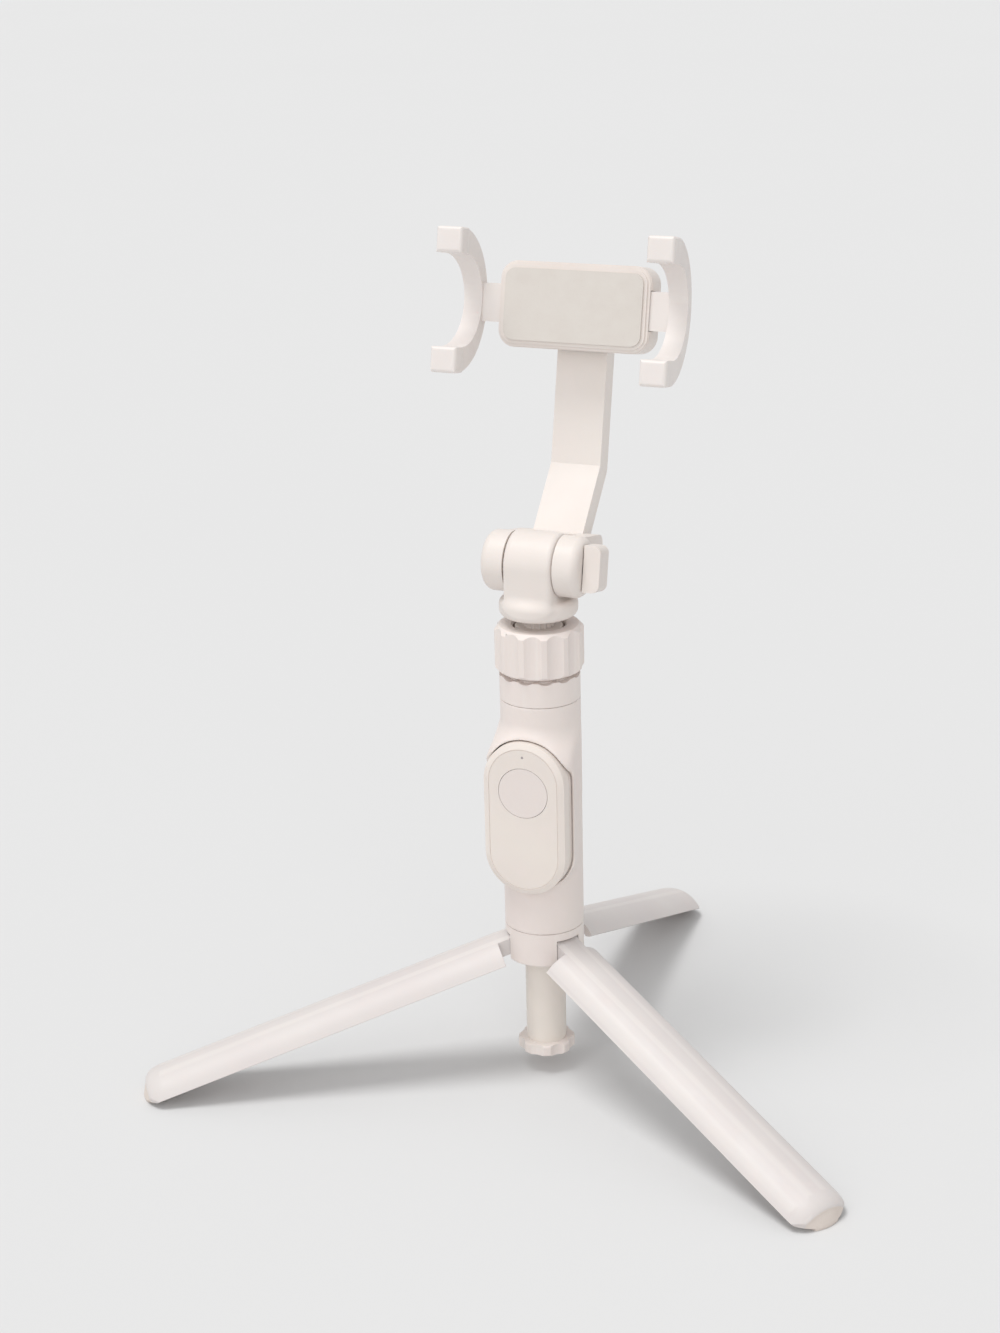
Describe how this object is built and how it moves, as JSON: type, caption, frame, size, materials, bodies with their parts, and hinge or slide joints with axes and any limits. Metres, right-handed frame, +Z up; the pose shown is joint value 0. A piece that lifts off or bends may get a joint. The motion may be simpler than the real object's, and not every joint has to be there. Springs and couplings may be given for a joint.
{
  "type": "desktop phone tripod",
  "caption": "Folding desktop tripod with a telescopic mast, a tilting clamp with hooked jaws for a phone, and a wireless shutter remote docked in the round body",
  "frame": {"origin": "on the floor, below the middle of the outer box", "axes": "+Z up along the mast, -Y to the side that the remote faces and the phone is gripped from, +X to the right seen from there"},
  "size_m": [0.252, 0.2212, 0.2932],
  "materials": {
    "body_plastic": "moulded ABS in warm stone white, fine satin texture",
    "tube_paint": "tube painted to match the body, satin",
    "mast_steel": "drawn stainless tube",
    "sleeve_plastic": "acetal, unpolished",
    "steel_fasteners": "zinc-plated steel",
    "spring_steel": "drawn spring wire",
    "foot_rubber": "soft rubber in a slightly darker beige",
    "pad_rubber": "soft pad moulded to match",
    "remote_plastic": "moulded ABS, satin",
    "button_plastic": "moulded ABS, satin",
    "circuit_board": "glass-fibre board with solder mask",
    "switch_metal": "stamped cover of the switch",
    "light_pipe": "clear acrylic",
    "cell_steel": "nickel-plated can"
  },
  "bodies": {
    "stand": {"hub": "body_plastic", "mast_tube": "tube_paint", "end_cap": "body_plastic", "casing": "body_plastic", "collar": "body_plastic", "leg_pins": "steel_fasteners", "hub_screws": "steel_fasteners"},
    "lock_ring": {"lock_ring": "body_plastic"},
    "mast_1": {"mast_section_1": "mast_steel", "friction_sleeve_1": "sleeve_plastic"},
    "mast_2": {"mast_section_2": "mast_steel", "friction_sleeve_2": "sleeve_plastic"},
    "mast_3": {"mast_section_3": "mast_steel", "friction_sleeve_3": "sleeve_plastic"},
    "mast_4": {"mast_section_4": "mast_steel", "friction_sleeve_4": "sleeve_plastic", "head_stud": "steel_fasteners"},
    "head": {"head_base": "body_plastic"},
    "arm": {"clamp_arm": "body_plastic", "tilt_bolt": "steel_fasteners", "knob_washer": "steel_fasteners", "friction_disc": "sleeve_plastic"},
    "knob": {"wing_knob": "body_plastic"},
    "clamp": {"swivel_screw": "steel_fasteners", "clamp_housing": "body_plastic", "clamp_cover": "body_plastic", "cover_screws": "steel_fasteners", "clamp_pad": "pad_rubber", "jaw_spring_left": "spring_steel", "jaw_spring_right": "spring_steel"},
    "jaw_left": {"jaw_left": "body_plastic"},
    "jaw_right": {"jaw_right": "body_plastic"},
    "leg_rear": {"leg_rear": "body_plastic", "foot_rear": "foot_rubber"},
    "leg_left": {"leg_left": "body_plastic", "foot_left": "foot_rubber"},
    "leg_right": {"leg_right": "body_plastic", "foot_right": "foot_rubber"},
    "remote": {"remote_front": "remote_plastic", "remote_back": "remote_plastic", "remote_board": "circuit_board", "remote_switch": "switch_metal", "remote_light": "light_pipe", "remote_cell": "cell_steel"},
    "button": {"remote_button": "button_plastic"}
  },
  "joints": [
    {"name": "ring_turn", "type": "hinge", "parent": "stand", "child": "lock_ring", "pos_m": [0, -0.03208, 0.15725], "axis": [0, 0, 1], "continuous": true},
    {"name": "mast_slide_1", "type": "slide", "parent": "stand", "child": "mast_1", "axis": [0, 0, 1], "range_m": [0, 0.094]},
    {"name": "mast_slide_2", "type": "slide", "parent": "mast_1", "child": "mast_2", "axis": [0, 0, 1], "range_m": [0, 0.094]},
    {"name": "mast_slide_3", "type": "slide", "parent": "mast_2", "child": "mast_3", "axis": [0, 0, 1], "range_m": [0, 0.094]},
    {"name": "mast_slide_4", "type": "slide", "parent": "mast_3", "child": "mast_4", "axis": [0, 0, 1], "range_m": [0, 0.094]},
    {"name": "head_pan", "type": "hinge", "parent": "mast_4", "child": "head", "pos_m": [0, -0.03208, 0.1684], "axis": [0, 0, 1], "continuous": true},
    {"name": "clamp_tilt", "type": "hinge", "parent": "head", "child": "arm", "pos_m": [0, -0.03208, 0.1859], "axis": [1, 0, 0], "range_deg": [-28, 191.9]},
    {"name": "knob_turn", "type": "hinge", "parent": "arm", "child": "knob", "pos_m": [0.0196, -0.03208, 0.1859], "axis": [1, 0, 0], "continuous": true},
    {"name": "clamp_turn", "type": "hinge", "parent": "arm", "child": "clamp", "pos_m": [0, 0.01382, 0.26309], "axis": [0, -0.9785, 0.2062], "range_deg": [-90, 90]},
    {"name": "jaw_left_slide", "type": "slide", "parent": "clamp", "child": "jaw_left", "axis": [-1, 0, 0], "range_m": [-0.0036, 0.012], "deforming": ["jaw_spring_left"]},
    {"name": "jaw_right_slide", "type": "slide", "parent": "clamp", "child": "jaw_right", "axis": [1, 0, 0], "range_m": [-0.0036, 0.012], "deforming": ["jaw_spring_right"]},
    {"name": "leg_rear_fold", "type": "hinge", "parent": "stand", "child": "leg_rear", "pos_m": [0, -0.02158, 0.05], "axis": [-1, 0, 0], "range_deg": [0, 71.17]},
    {"name": "leg_left_fold", "type": "hinge", "parent": "stand", "child": "leg_left", "pos_m": [-0.00909, -0.03733, 0.05], "axis": [0.5, -0.866, 0], "range_deg": [0, 71.17]},
    {"name": "leg_right_fold", "type": "hinge", "parent": "stand", "child": "leg_right", "pos_m": [0.00909, -0.03733, 0.05], "axis": [0.5, 0.866, 0], "range_deg": [0, 71.17]},
    {"name": "remote_pull", "type": "slide", "parent": "stand", "child": "remote", "axis": [0, -1, 0], "range_m": [0, 0.04]},
    {"name": "button_press", "type": "slide", "parent": "remote", "child": "button", "axis": [0, 1, 0], "range_m": [0, 0.0005], "stiffness_N_per_m": 400, "springref_m": -0.001}
  ]
}
